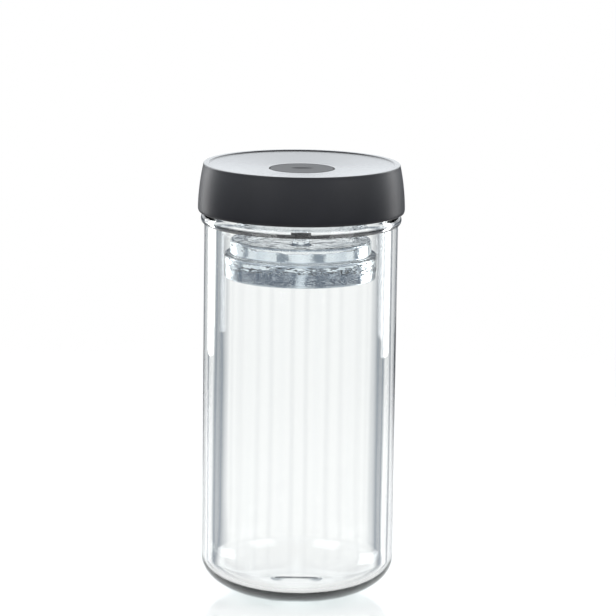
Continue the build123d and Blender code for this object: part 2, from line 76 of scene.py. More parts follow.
# Waves of the glass: turns round the axis, metres per wave up it, phase
JAR_WAVES = ((2, 0.31, 0.4), (3, 0.19, 2.0), (5, 0.13, 4.4), (9, 0.23, 1.1), (14, 0.5, 3.0))
WEIGHT_WAVES = ((4, 0.031, 0.3), (7, 0.017, 1.9), (11, -0.023, 4.0), (17, 0.011, 2.2), (26, -0.014, 5.1))

IMAGE_SIDE = 616
SENSOR_WIDTH = 36.0
TARGET_PIXEL_X = 299.04
TARGET_PIXEL_Y = 385.87
FOCAL_PIXELS = 3840.0

# The world that glass sees: upright strips, mirrored every so many degrees, and layers up to a height
STRIP_DEGREES = 22.5
STRIPS = (
    (0.0, 1.0),
    (0.22, 1.0),
    (0.34, (0.22, 0.25, 0.29)),
    (0.50, (0.30, 0.33, 0.37)),
    (0.58, 0.95),
    (0.76, 1.0),
    (0.90, (0.84, 0.86, 0.88)),
    (1.0, (0.82, 0.84, 0.86)),
)
LAYER_DEGREES = 45.0
LAYERS = (
    (0.0, (0.10, 0.13, 0.18)),
    (0.28, (0.030, 0.045, 0.075)),
    (0.36, (0.16, 0.19, 0.24)),
    (0.42, (0.93, 0.96, 1.0)),
    (0.55, (0.80, 0.84, 0.90)),
    (0.66, (0.10, 0.12, 0.16)),
    (1.0, (0.20, 0.22, 0.26)),
)


def number(name, default, description, **kind):
    """A number as a property, with its limits and its unit or subtype."""
    return bpy.props.FloatProperty(name=name, description=description, default=default, **kind)


def in_millimetres(group):
    """Makes a length property of each row (millimetres, description) of a group, labelled by its name."""
    for key, row in group.__annotations__.items():
        if isinstance(row, tuple):
            label, size = key.replace("_", " ").capitalize(), row[0] * MM
            kind = {"min": 0.0, "precision": 5, "unit": "LENGTH"}
            group.__annotations__[key] = number(label, size, row[1], **kind)
    return group


def colour(name, default, description):
    """A linear colour as a property."""
    return bpy.props.FloatVectorProperty(
        name=name, description=description, default=default, subtype="COLOR", size=3, min=0.0, max=1.0
    )


@in_millimetres
class JarSizes(bpy.types.PropertyGroup):
    """Sizes of the glass jar and its thread."""

    bead_proud: (1.8, "How far the bead stands out of the wall")
    wall: (3.0, "Thickness of the side wall")
    floor: (5.0, "Thickness of the base inside the corner")
    corner_height: (20.0, "Half height of the ellipse that rounds the base corner")
    corner_reach: (6.0, "How far inside the foot that ellipse is centred")
    inner_corner: (15.0, "Height of the rounded corner inside the jar")
    foot_ring: (6.0, "Width of the flat ring that the jar stands on")
    punt: (14.0, "Radius of the hollow under the base")
    punt_depth: (1.5, "Depth of the hollow under the base")
    bead_height: (5.4, "Height of the bead below the lid")
    bead_shoulder: (2.0, "Rise from the bead's top to the neck")
    neck_height: (18.0, "From the bead's top to the mouth")
    neck_setback: (3.7, "How far the neck stands inside the wall")
    neck_wall: (3.2, "Thickness of the neck")
    inner_shoulder: (9.0, "Height over which the bore narrows to the neck")
    shoulder_rise: (2.0, "From the neck's foot up to where the bore is narrow")
    lip: (1.0, "Rounding of the mouth's edges")
    wave: (0.045, "Slow unevenness of the blown wall")
    thread_depth: (1.5, "Height of the thread over the neck")
    thread_lead: (12.0, "Rise of the lid in one full turn")
    thread_root: (2.6, "Width of a thread at its foot")
    thread_crest: (1.0, "Width of a thread at its top")
    thread_drop: (10.7, "From the mouth down to where the threads begin")
    thread_clearance: (0.4, "From the thread's crest to the lid's bore")


@in_millimetres
class LidSizes(bpy.types.PropertyGroup):
    """Sizes of the cover, the threaded liner and the gasket."""

    gasket: (2.1, "Thickness of the gasket")
    gasket_fit: (0.2, "Room beside the gasket")
    liner_wall: (1.6, "Wall of the threaded liner")
    liner_roof: (1.5, "Thickness of the liner over the gasket")
    liner_gap: (3.2, "From the bead's top up to the liner")
    lip_clearance: (0.8, "From the mouth in to the centring lip")
    lip_wall: (1.1, "Wall of the centring lip")
    lip_depth: (3.4, "How far the centring lip reaches into the mouth")
    flange: (1.2, "Height of the liner's bottom flange")
    flange_gap: (0.45, "From the flange to the cover")
    key_width: (2.2, "Width of a drive key and of a rib")
    key_height: (9.5, "Height of a drive key and of a rib")
    key_fit: (0.35, "Clearance round a key")
    cover_wall: (1.6, "Wall of the cover")
    cover_top: (1.7, "Thickness of the cover's top")
    top_inset: (2.6, "How much narrower the cover is at its top")
    bulge: (0.55, "Barrel shape of the skirt")
    skirt_gap: (1.0, "From the bead up to the cover's edge")
    edge_inset: (0.8, "How far the skirt's lower edge rounds inwards")
    edge_height: (2.0, "Height of that rounding")
    rim_rise: (2.7, "Height of the rim over the top")
    rim_width: (2.8, "Width of the rim's crown")
    rim_step: (0.6, "Height of the step inside the rim")
    rim_rounding: (0.7, "Rounding of the rim's outer edge")
    snap: (0.8, "Reach of the bead that holds the liner")


@in_millimetres
class ValveSizes(bpy.types.PropertyGroup):
    """Sizes of the gas valve, its well and the hub below it."""

    cap_gap: (0.4, "Ring-shaped gap between the cap and the lid")
    cap_thickness: (2.0, "Thickness of the cap's disc")
    cap_wall: (1.6, "Wall of the cap's skirt")
    cap_edge: (0.5, "Rounding of the cap's edge")
    dimple_length: (12.0, "Length of the fingertip's dimple")
    dimple_width: (8.0, "Width of the fingertip's dimple")
    dimple_depth: (0.6, "Depth of the fingertip's dimple")
    notch_width: (3.0, "Width of a gas notch in the cap's skirt")
    notch_height: (1.2, "Height of a gas notch")
    well_wall: (1.7, "Wall and floor of the valve's well")
    membrane: (12.4, "Radius of the membrane's lip")
    membrane_edge: (0.7, "Thickness of the membrane's lip")
    boss: (4.0, "Radius of the membrane's middle")
    boss_height: (2.1, "Height of the membrane's middle")
    stem: (2.0, "Radius of the membrane's stem")
    bulb: (2.7, "Radius of the bulb that holds the membrane")
    bulb_length: (3.4, "Length of that bulb")
    lift: (0.6, "How far the membrane can rise")
    fit: (0.08, "Clearance of parts that run in each other")
    hub_bore: (3.3, "Radius of the hub's bore")
    hub: (6.0, "Outside radius of the hub")
    hub_length: (9.0, "How far the hub reaches down")
    groove_depth: (0.7, "Depth of the hub's groove")
    groove_height: (2.0, "Height of the hub's groove")
    groove_rise: (2.2, "From the hub's end up to its groove")


@in_millimetres
class WeightSizes(bpy.types.PropertyGroup):
    """Sizes of the soft holder and the glass weight."""

    collar_wall: (2.2, "Wall of the holder's collar")
    collar_gap: (0.4, "Room over the collar and under the hub")
    holder_floor: (2.0, "From the hub's end to the holder's shoulder")
    stub: (5.2, "Radius of the holder's stub")
    stub_length: (14.8, "Length of the stub")
    taper: (3.0, "Height of the taper under the collar")
    bead_fit: (0.15, "Clearance of the bead in the hub's groove")
    holder_gap: (3.8, "From the stub down to the weight's top")
    mouth_gap: (3.3, "From the weight's side to the jar's mouth")
    step: (3.3, "Width of the weight's step")
    lower: (12.4, "Height of the weight's wide tier")
    upper: (7.4, "Height of the weight's narrow tier")
    rim: (6.5, "Width of the rim round the dish")
    dish_depth: (3.5, "Depth of the dish")
    dish_slope: (3.0, "Width of the dish's sloping side")
    rounding: (1.6, "Rounding of the weight's edges")
    knob: (4.0, "Radius of the knob")
    knob_foot: (2.5, "Width and height of the knob's flared foot")
    grip: (8.0, "How far the knob reaches into the holder")
    wave: (0.09, "Unevenness that the mould leaves on the glass")


class Finishes(bpy.types.PropertyGroup):
    """Colours of the materials, linear."""

    jar_glass: colour("Jar glass", (0.985, 0.993, 0.99), "Tint of the jar's glass")
    weight_glass: colour("Weight glass", (0.965, 0.98, 0.99), "Tint of the weight's glass")
    lid_black: colour("Lid", (0.0085, 0.0088, 0.0118), "Black plastic of the cover")
    liner_black: colour("Liner", (0.011, 0.011, 0.013), "Black plastic of the liner")
    cap_black: colour("Valve cap", (0.016, 0.0165, 0.019), "Black plastic of the valve cap")
    silicone: colour("Silicone", (0.022, 0.021, 0.021), "Dark silicone of the soft parts")
    floor: colour("Floor", (0.93, 0.93, 0.93), "Pale floor")


@in_millimetres
class StudioSizes(bpy.types.PropertyGroup):
    """Camera and light of the studio."""

    target_height: (110.0, "Height on the jar's axis that the camera turns about")
    distance: (2000.0, "From the camera to the target")
    elevation: number("Elevation", math.radians(11.67), "Camera over the horizon", subtype="ANGLE")
    roll: number("Roll", math.radians(0.76), "Lean of the picture", subtype="ANGLE")
    floor_radius: (900.0, "Radius of the floor's disc")
    ambient: number("Ambient light", 0.62, "Strength of the world for matt surfaces", min=0.0)
    key_power: number("Key light", 8.0, "Watts of the big lamp at the upper left", min=0.0)
    fill_power: number("Fill light", 4.5, "Watts of the big lamp at the upper right", min=0.0)
    side_power: number("Side lights", 3.0, "Watts of each tall lamp beside the jar", min=0.0)


def layout(scene):
    """Radii and heights of every piece, worked out from the sizes and the frame, from the base upwards."""
    jar, lid, valve, weight = scene.jar_sizes, scene.lid_sizes, scene.valve_sizes, scene.weight_sizes
    at = SimpleNamespace()
    at.jar = JAR_HIGH.x - jar.bead_proud
    at.mouth_z = JAR_HIGH.z
    at.foot = jar.punt + jar.foot_ring
    at.neck = at.jar - jar.neck_setback
    at.mouth = at.neck - jar.neck_wall
    at.bead_top_z = at.mouth_z - jar.neck_height
    at.bead_low_z = at.bead_top_z - jar.bead_height
    at.thread_z = at.mouth_z - jar.thread_drop
    at.bore = at.neck + jar.thread_depth + jar.thread_clearance
    at.liner = at.bore + lid.liner_wall
    at.cover = COVER_HIGH.x
    at.cover_top = at.cover - lid.top_inset
    at.gasket_z = at.mouth_z + lid.gasket
    at.liner_top_z = at.gasket_z + lid.liner_roof
    at.lid_z = at.liner_top_z + lid.cover_top
    at.rim_z = COVER_HIGH.z
    at.skirt_z = at.bead_top_z + lid.skirt_gap
    at.edge_z = at.skirt_z + lid.edge_height
    at.liner_z = at.bead_top_z + lid.liner_gap
    at.flange_z = at.liner_z + lid.flange
    at.lip_outer = at.mouth - lid.lip_clearance
    at.lip_inner = at.lip_outer - lid.lip_wall
    at.lip_z = at.mouth_z - lid.lip_depth
    at.cap = CAP_HIGH.x
    at.well = at.cap + valve.cap_gap
    at.well_z = CAP_LOW.z
    at.hub_z = at.well_z - valve.well_wall
    at.hub_end_z = at.hub_z - valve.hub_length
    at.shoulder_z = at.hub_end_z - weight.holder_floor
    at.stub_z = at.shoulder_z - weight.stub_length
    at.weight_z = at.stub_z - weight.holder_gap
    at.step_z = at.weight_z - weight.upper
    at.bottom_z = at.step_z - weight.lower
    at.weight = at.mouth - weight.mouth_gap
    return at


def skirt_radius(at, lid, level):
    """Outer radius of the cover: a straight taper plus a parabola that bulges it in the middle."""
    rise = (level - at.edge_z) / (at.rim_z - lid.rim_rounding - at.edge_z)
    return at.cover - lid.top_inset * rise + 4 * lid.bulge * rise * (1 - rise)


def cover_bore(at, lid, level):
    """Radius of the cover's inner wall."""
    return skirt_radius(at, lid, level) - lid.cover_wall


def straight(start, end, step=None):
    """Points on a line, with one close to each end, so that smooth shading stays in the corners."""
    start, end = np.array(start, float), np.array(end, float)
    size = np.linalg.norm(end - start)
    if size < 4 * SUPPORT:
        places = np.array([0.0, 1.0])
    else:
        inner = np.linspace(SUPPORT / size, 1 - SUPPORT / size, 2 + int(size / step if step else 0))
        places = np.concatenate(([0.0], inner, [1.0]))
    return start + places[:, None] * (end - start)


def arc(centre, radii, first, last, step=ARC_STEP):
    """Points on an ellipse's arc: centre plus (a cos t, b sin t), from one angle in degrees to another."""
    first, last = math.radians(first), math.radians(last)
    t = np.linspace(first, last, 2 + int(abs(last - first) / step))
    return np.array(centre) + np.stack((radii[0] * np.cos(t), radii[1] * np.sin(t)), 1)


def joined(*stretches):
    """Several stretches as one outline, without the points that two of them share."""
    points = np.concatenate([np.atleast_2d(np.array(s, float)) for s in stretches])
    apart = np.linalg.norm(np.diff(points, axis=0), axis=1) > 1e-7
    return points[np.concatenate(([True], apart))]


def rounded(*corners, closed=True, step=None):
    """A polygon of corners (radius, height, fillet), each fillet an arc that touches both its sides."""
    points = np.array([c[:2] for c in corners], float)
    fillets = [c[2] if len(c) > 2 else 0.0 for c in corners]
    count = len(points)
    rounds = []
    for i, fillet in enumerate(fillets):
        here, before, after = points[i], points[i - 1], points[(i + 1) % count]
        if fillet <= 0 or (not closed and i in (0, count - 1)):
            rounds.append(here[None])
            continue
        back = (before - here) / np.linalg.norm(before - here)
        on = (after - here) / np.linalg.norm(after - here)
        half = math.acos(np.clip(back @ on, -1, 1)) / 2
        middle = (back + on) / np.linalg.norm(back + on)
        centre = here + middle * fillet / math.sin(half)
        start = here + back * fillet / math.tan(half) - centre
        end = here + on * fillet / math.tan(half) - centre
        turn = math.atan2(start[0] * end[1] - start[1] * end[0], start @ end)
        t = np.linspace(0, turn, 2 + int(abs(turn) / ARC_STEP))
        side = np.array([-start[1], start[0]])
        rounds.append(centre + np.cos(t)[:, None] * start + np.sin(t)[:, None] * side)
    stretches = []
    for i, points_here in enumerate(rounds):
        stretches.append(points_here)
        if closed or i < count - 1:
            stretches.append(straight(points_here[-1], rounds[(i + 1) % count][0], step))
    outline = joined(*stretches)
    return outline[:-1] if closed else outline


def off_nearest(angles, middles):
    """How far each angle is from the nearest of the middles."""
    return np.abs(np.mod(angles[..., None] - middles + math.pi, FULL_TURN) - math.pi).min(-1)


def turn_angles(edges=()):
    """Angles of the lathe's steps, with a close pair at each edge of a feature, so that it stays sharp."""
    even = np.linspace(0, FULL_TURN, SEGMENTS, endpoint=False)
    if not len(edges):
        return even
    edges = np.mod(edges, FULL_TURN)
    clear = off_nearest(even, edges) > 10 * FEATURE_EDGE
    pairs = np.concatenate((edges - FEATURE_EDGE, edges + FEATURE_EDGE))
    return np.sort(np.mod(np.concatenate((even[clear], pairs)), FULL_TURN))


def features(count, half, first=0.0):
    """Equal features round the axis: a test for the angles inside one, and the lathe's steps for them."""
    middles = np.arange(count) * FULL_TURN / count + first

    def inside(angles):
        """True where the angle lies within half of a middle."""
        return off_nearest(angles, middles) < half

    return inside, turn_angles(np.concatenate((middles - half, middles + half)))


def turned(outline, shape=None, angles=None):
    """Vertices and faces of an outline (r, z) carried round the Z axis: x = r cos a, y = r sin a.

    The shape function may change r and z at each angle. Where the outline meets the axis there is a
    pole, and an outline that keeps off it is a ring that closes on itself.
    """
    angles = turn_angles() if angles is None else angles
    radius = np.repeat(outline[None, :, 0], len(angles), 0)
    height = np.repeat(outline[None, :, 1], len(angles), 0)
    around = np.repeat(angles[:, None], len(outline), 1)
    if shape:
        radius, height = shape(around, radius, height)
    off_axis = outline[:, 0] > ON_AXIS
    points = np.stack((radius * np.cos(around), radius * np.sin(around), height), 2)[:, off_axis]
    index = np.arange(points.shape[0] * points.shape[1]).reshape(points.shape[:2])
    after = np.roll(index, -1, 0)
    quads = np.stack((index, after, np.roll(after, -1, 1), np.roll(index, -1, 1)), 2)
    if not off_axis.all():
        quads = quads[:, :-1]
    vertices, faces = points.reshape(-1, 3).tolist(), quads.reshape(-1, 4).tolist()
    for end, one, other in ((0, after, index), (-1, index, after)):
        if not off_axis[end]:
            pole = np.full(len(angles), len(vertices))
            faces += np.stack((pole, one[:, end], other[:, end]), 1).tolist()
            vertices.append([0, 0, height[0, end]])
    return np.array(vertices), faces


def enclosed(vertices, faces):
    """Signed volume inside a closed surface: the sum of the tetrahedra from the origin to its faces."""
    quads = np.array([f if len(f) == 4 else [*f, f[2]] for f in faces])
    a, b, c, d = (vertices[quads[:, k]] for k in range(4))
    return (np.einsum("ij,ij->", a, np.cross(b, c)) + np.einsum("ij,ij->", a, np.cross(c, d))) / 6


def mesh_object(name, mesh_name, vertices, faces, material):
    """An object in the scene with a mesh of its own."""
    mesh = bpy.data.meshes.new(mesh_name)
    mesh.from_pydata(vertices.tolist(), [], faces)
    mesh.materials.append(material)
    made = bpy.data.objects.new(name, mesh)
    bpy.context.scene.collection.objects.link(made)
    return made


def make_piece(name, surface, material, body):
    """Puts a closed surface into a mesh with its faces outwards, and lets it stand for its CAD node."""
    vertices, faces = surface
    if enclosed(vertices, faces) < 0:
        faces = [f[::-1] for f in faces]
    piece = mesh_object(name + "_shown", name, vertices, faces, material)
    if piece.data.validate():
        raise RuntimeError(f"{name}: the mesh had faces that Blender had to repair")
    piece.data.shade_smooth()
    piece.data.set_sharp_from_angle(angle=SHARP_ANGLE)
    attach(piece, body)
    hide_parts(name)


def thread_share(angle, level, jar, first_z):
    """Height of a thread from 0 to 1: each start climbs its helix and runs out at both ends."""
    flank = (jar.thread_root - jar.thread_crest) / 2
    tallest = np.zeros_like(angle)
    for start in range(THREAD_STARTS):
        turn = np.mod(angle - start * FULL_TURN / THREAD_STARTS, FULL_TURN)
        to_end = np.minimum(turn, THREAD_REACH - turn)
        grown = np.clip(THREAD_END + (1 - THREAD_END) * to_end / THREAD_RUN_OUT, 0, 1)
        middle = first_z + jar.thread_lead * turn / FULL_TURN
        across = np.clip((jar.thread_root / 2 - np.abs(level - middle)) / flank, 0, 1)
        tallest = np.maximum(tallest, np.minimum(np.where(to_end < 0, 0, grown), across))
    return tallest * tallest * (3 - 2 * tallest)


def unevenness(angle, level, waves):
    """A sum of sines over the angle and the height, within 1."""
    total = sum(np.sin(turns * angle + FULL_TURN * level / pitch + phase) for turns, pitch, phase in waves)
    return total / len(waves)


def operators(operation):
    """An operator of Socket and its reflected form, each as a Math node."""
    return (
        lambda self, other: self.math(operation, self, other),
        lambda self, other: self.math(operation, other, self),
    )


class Socket:
    """One output in a node tree. Sums, products and powers of it add Math nodes."""

    def __init__(self, tree, output=None):
        self.tree = tree
        self.output = output

    def node(self, kind, values=None, settings=None, output=0):
        """Adds a shader node: its settings, then its sockets' values or links. Returns one output."""
        made = self.tree.nodes.new("ShaderNode" + kind)
        for key, value in (settings or {}).items():
            setattr(made, key, value)
        for key, value in (values or {}).items():
            if isinstance(value, Socket):
                self.tree.links.new(value.output, made.inputs[key])
            else:
                made.inputs[key].default_value = value
        return Socket(self.tree, made.outputs[output] if made.outputs else None)

    def math(self, operation, *values):
        """A Math node on the values."""
        return self.node("Math", dict(enumerate(values)), {"operation": operation})

    __add__, __radd__ = operators("ADD")
    __sub__, __rsub__ = operators("SUBTRACT")
    __mul__, __rmul__ = operators("MULTIPLY")
    __truediv__, __rtruediv__ = operators("DIVIDE")
    __pow__, __rpow__ = operators("POWER")

    def between(self, low, high):
        """0 below low and 1 above high, with a smooth step from one to the other."""
        limits = {"Value": self, "From Min": low, "From Max": high}
        return self.node("MapRange", limits, {"interpolation_type": "SMOOTHSTEP"})

    def ramp(self, stops):
        """A colour that changes with this value over the stops (place, tone)."""
        made = self.node("ValToRGB", {"Fac": self})
        elements = made.output.node.color_ramp.elements
        while len(elements) < len(stops):
            elements.new(1.0)
        for element, (place, tone) in zip(elements, stops):
            element.position = place
            element.color = (*tone, 1.0) if isinstance(tone, tuple) else (tone, tone, tone, 1.0)
        return made

    def blend(self, first, second):
        """The first colour where this value is 0 and the second where it is 1."""
        return self.node("Mix", {0: self, 6: first, 7: second}, {"data_type": "RGBA"}, output=2)

    def noise(self, scale, detail=2.0, roughness=0.5):
        """Noise over this vector, about 0.5, with scale in waves per metre."""
        values = {"Vector": self, "Scale": scale, "Detail": detail, "Roughness": roughness}
        return self.node("TexNoise", values)

    def bump(self, distance):
        """A normal that this height, from 0 to 1, raises by up to the distance."""
        return self.node("Bump", {"Strength": 1.0, "Distance": distance, "Height": self})

    def ray(self, kind):
        """1 for rays of the named kind and 0 for all others."""
        return self.node("LightPath", output=f"Is {kind} Ray")

    def axes(self):
        """The three parts of this vector."""
        first = self.node("SeparateXYZ", {0: self})
        return [Socket(self.tree, part) for part in first.output.node.outputs]


def blank_tree(owner):
    """The owner's node tree, emptied, as a socket to start from."""
    owner.use_nodes = True
    owner.node_tree.nodes.clear()
    return Socket(owner.node_tree)


def blank_material(name):
    """A material, its empty tree, and the point of the piece in metres from its origin."""
    material = bpy.data.materials.new(name)
    start = blank_tree(material)
    return material, start, start.node("TexCoord", output="Object")


def rgba(tone, gain=1.0):
    """A colour with alpha, and its tones times the gain."""
    return (*(min(1.0, part * gain) for part in tone), 1.0)


def plastic(name, tone, roughness, grain, specular, coat_above=None):
    """Moulded black plastic: fine grain, faint clouding, and where asked a glossier top over a height."""
    material, start, place = blank_material(name)
    clouds, speck = place.noise(42.0, 3.0), place.noise(900.0, 1.0)
    values = {
        "Base Color": clouds.between(0.25, 0.75).blend(rgba(tone, 0.82), rgba(tone, 1.2)),
        "Roughness": roughness - 0.04 + 0.05 * clouds + 0.04 * speck,
        "Specular IOR Level": specular,
        "Normal": place.noise(2600.0, 2.0, 0.6).bump(grain * MM),
    }
    if coat_above is not None:
        level, upward = place.axes()[2], start.node("NewGeometry", output="Normal").axes()[2]
        values["Coat Weight"] = level.between(coat_above - 0.3 * MM, coat_above) * upward.between(0.5, 0.9)
        values["Coat Roughness"] = 0.22
        values["Coat IOR"] = 1.6
    start.node("OutputMaterial", {"Surface": start.node("BsdfPrincipled", values)})
    return material


def silicone(name, tone):
    """Dark silicone rubber: satin, with soft clouding and a faint dusty bloom."""
    material, start, place = blank_material(name)
    clouds = place.noise(120.0, 4.0)
    values = {
        "Base Color": clouds.between(0.3, 0.75).blend(rgba(tone, 0.8), rgba(tone, 1.5)),
        "Roughness": 0.5 + 0.16 * clouds,
        "Specular IOR Level": 0.4,
        "Sheen Weight": 0.12,
        "Sheen Roughness": 0.4,
        "Normal": place.noise(1900.0, 2.0, 0.6).bump(0.03 * MM),
    }
    start.node("OutputMaterial", {"Surface": start.node("BsdfPrincipled", values)})
    return material


def clear_glass(name, tone, ripple, ripple_scale, absorbed, density, shadow):
    """Clear glass: faint ripples, a tint that deepens with thickness, and light shadows through it."""
    material, start, place = blank_material(name)
    slow = start.node("Mapping", {"Vector": place, "Scale": ripple_scale}).noise(1.0)
    smudge = place.noise(60.0, 3.0).between(0.55, 0.8)
    values = {
        "Base Color": smudge.blend(rgba(tone), rgba(tone, 0.985)),
        "Roughness": 0.004 + 0.012 * smudge,
        "IOR": 1.5,
        "Transmission Weight": 1.0,
        "Normal": slow.bump(ripple * MM),
    }
    glass = start.node("BsdfPrincipled", values)
    open_way = start.node("BsdfTransparent", {"Color": rgba(shadow)})
    surface = start.node("MixShader", {0: start.ray("Shadow"), 1: glass, 2: open_way})
    depth = start.node("VolumeAbsorption", {"Color": rgba(absorbed), "Density": density})
    start.node("OutputMaterial", {"Surface": surface, "Volume": depth})
    return material


def jar_outline(at, jar):
    """Half section of the jar: punt, foot, elliptical corner, wall, bead, neck, lip, and back down inside."""
    inner = at.jar - jar.wall
    corner = at.jar - at.foot + jar.corner_reach
    cut = jar.corner_reach / corner
    corner_z = jar.corner_height * math.sqrt(1 - cut**2)
    cut_angle = 270 + math.degrees(math.asin(cut))
    inner_foot = at.foot - jar.wall
    inner_corner_z = jar.floor + jar.inner_corner
    neck_low_z = at.bead_top_z + jar.bead_shoulder
    shoulder_top_z = neck_low_z + jar.shoulder_rise
    shoulder_z = shoulder_top_z - jar.inner_shoulder
    half_chord = jar.bead_height / 2
    bead = (half_chord**2 + jar.bead_proud**2) / (2 * jar.bead_proud)
    bead_angle = math.degrees(math.asin(half_chord / bead))
    side, rise = (inner - at.mouth) / 2, jar.inner_shoulder / 2
    swing = (side**2 + rise**2) / (2 * side)
    swing_angle = math.degrees(math.asin(rise / swing))
    sunk = np.linspace(0, 1, 12)
    punt = np.stack((sunk * jar.punt, jar.punt_depth * (1 - sunk**2)), 1)
    corner_step, shoulder_step, wall_rows = math.radians(3), math.radians(4), 5 * MM
    bead_centre = (at.jar + jar.bead_proud - bead, at.bead_low_z + half_chord)
    lip, lip_z = (jar.lip, jar.lip), at.mouth_z - jar.lip
    return joined(
        punt,
        straight((jar.punt, 0), (at.foot, 0)),
        arc((at.jar - corner, corner_z), (corner, jar.corner_height), cut_angle, 360, corner_step),
        straight((at.jar, corner_z), (at.jar, at.bead_low_z), wall_rows),
        arc(bead_centre, (bead, bead), -bead_angle, bead_angle),
        straight((at.jar, at.bead_top_z), (at.neck, neck_low_z)),
        straight((at.neck, neck_low_z), (at.neck, lip_z), FINE_ROWS),
        arc((at.neck - jar.lip, lip_z), lip, 0, 90),
        straight((at.neck - jar.lip, at.mouth_z), (at.mouth + jar.lip, at.mouth_z)),
        arc((at.mouth + jar.lip, lip_z), lip, 90, 180),
        straight((at.mouth, lip_z), (at.mouth, shoulder_top_z), 3 * MM),
        arc((at.mouth + swing, shoulder_top_z), (swing, swing), 180, 180 + swing_angle, shoulder_step),
        arc((inner - swing, shoulder_z), (swing, swing), swing_angle, 0, shoulder_step),
        straight((inner, shoulder_z), (inner, inner_corner_z), wall_rows),
        arc((inner_foot, inner_corner_z), (inner - inner_foot, jar.inner_corner), 360, 270, corner_step),
        straight((inner_foot, jar.floor), (0, jar.floor), 4 * MM),
    )


def liner_outline(at, jar, lid):
    """Half section of the liner: bore, flange, outer wall, roof and centring lip."""
    flange = cover_bore(at, lid, at.liner_z) - lid.flange_gap
    key_top_z = at.flange_z + lid.key_height
    small, near = 0.25 * MM, 0.05 * MM
    outside = rounded(
        (at.bore, at.liner_z, 0.4 * MM),
        (flange, at.liner_z, small),
        (flange, at.flange_z, small),
        (at.liner, at.flange_z),
        (at.liner, key_top_z - near),
        (at.liner, key_top_z + near),
        (at.liner, at.liner_top_z, 0.6 * MM),
        (at.lip_inner, at.liner_top_z, small),
        (at.lip_inner, at.lip_z, 0.35 * MM),
        (at.lip_outer, at.lip_z, 0.7 * MM),
        (at.lip_outer, at.gasket_z),
        (at.bore, at.gasket_z),
        (at.bore, at.mouth_z),
    )
    rows = straight((at.bore, at.mouth_z), (at.bore, at.liner_z + 0.4 * MM), FINE_ROWS)
    return np.concatenate((outside, rows[1:-1]))


def cover_outline(at, lid, valve):
    """Half section of the cover: barrel skirt, rim, top, well, hub with its groove, and the inside."""
    levels = np.linspace(at.edge_z, at.rim_z - lid.rim_rounding, 14)
    skirt = np.stack((skirt_radius(at, lid, levels), levels), 1)
    edge = at.cover - lid.edge_inset
    crest = at.cover_top - lid.rim_rounding
    rim_inner = at.cover_top - lid.rim_width
    well_outer = at.well + valve.well_wall
    dish = rim_inner - lid.rim_rounding
    dish_rise = lid.rim_rise - lid.rim_step
    hollow = dish_rise * (at.lip_inner - well_outer) / (dish - well_outer)
    groove = valve.hub - valve.groove_depth
    groove_low_z = at.hub_end_z + valve.groove_rise
    groove_high_z = groove_low_z + valve.groove_height
    small = 0.25 * MM
    top = rounded(
        (crest, at.rim_z),
        (rim_inner, at.rim_z, 0.6 * MM),
        (dish, at.lid_z + dish_rise, 0.7 * MM),
        (well_outer, at.lid_z, 20 * MM),
        (at.well, at.lid_z, 0.35 * MM),
        (at.well, at.well_z, small),
        (valve.stem + valve.fit, at.well_z, small),
        (valve.stem + valve.fit, at.hub_z),
        (valve.hub_bore, at.hub_z),
        (valve.hub_bore, at.hub_end_z, small),
        (groove, at.hub_end_z),
        (valve.hub, at.hub_end_z + valve.groove_depth, small),
        (valve.hub, groove_low_z, small),
        (groove, groove_low_z + valve.groove_depth),
        (groove, groove_high_z - valve.groove_depth),
        (valve.hub, groove_high_z, small),
        (valve.hub, at.hub_z, small),
        (well_outer, at.hub_z, 0.5 * MM),
        (well_outer, at.liner_top_z, small),
        (at.lip_inner, at.liner_top_z + hollow),
        (at.lip_inner, at.liner_top_z, small),
        (cover_bore(at, lid, at.liner_top_z), at.liner_top_z),
        closed=False,
    )
    rib_low_z = at.flange_z + lid.key_fit
    rib_high_z = rib_low_z + lid.key_height
    snap_z = at.liner_z - 0.1 * MM
    near = 0.03 * MM
    above = np.linspace(at.liner_top_z, rib_high_z + near, 5)
    beside = np.linspace(rib_high_z - near, rib_low_z + near, 7)
    levels = np.concatenate((above, beside, [rib_low_z - near, snap_z]))
    inside = np.stack((cover_bore(at, lid, levels), levels), 1)
    inner = at.cover - lid.cover_wall
    low = rounded(
        (inner, snap_z),
        (inner - lid.snap, snap_z, 0.15 * MM),
        (inner - lid.snap, snap_z - 0.5 * MM, 0.3 * MM),
        (inner + 0.1 * MM, snap_z - 1.9 * MM),
        (edge - lid.cover_wall / 2, at.skirt_z, 0.3 * MM),
        (edge, at.skirt_z),
        closed=False,
    )
    bottom = arc((edge, at.edge_z), (lid.edge_inset, lid.edge_height), 270, 360)
    crown = arc((crest, at.rim_z - lid.rim_rounding), (lid.rim_rounding, lid.rim_rounding), 0, 90)
    return joined(skirt, crown, top, inside, low, bottom)[:-1]


class JAR_OT_glass(bpy.types.Operator):
    """Build the glass jar"""

    bl_idname = "jar.glass"
    bl_label = "Glass jar"

    def execute(self, context):
        jar, at = context.scene.jar_sizes, layout(context.scene)
        wave_start, outside_share = 20 * MM, -0.4

        def shape(angle, radius, level):
            """The thread stands out of the neck, and slow waves run over the walls above the corner."""
            thread = jar.thread_depth * thread_share(angle, level, jar, at.thread_z)
            wall = np.clip((level - jar.corner_height) / wave_start, 0, 1)
            side = np.where(radius < at.jar - jar.wall / 2, 1.0, outside_share)
            wave = jar.wave * wall * unevenness(angle, level, JAR_WAVES) * side
            return radius + np.where(np.abs(radius - at.neck) < SAME, thread, wave), level

        glass = clear_glass(
            "jar_glass",
            context.scene.finishes.jar_glass,
            ripple=0.05,
            ripple_scale=(26, 26, 9),
            absorbed=(0.80, 0.92, 0.90),
            density=9.0,
            shadow=(0.90, 0.93, 0.93),
        )
        make_piece("jar_glass", turned(jar_outline(at, jar), shape), glass, "jar")
        return {"FINISHED"}


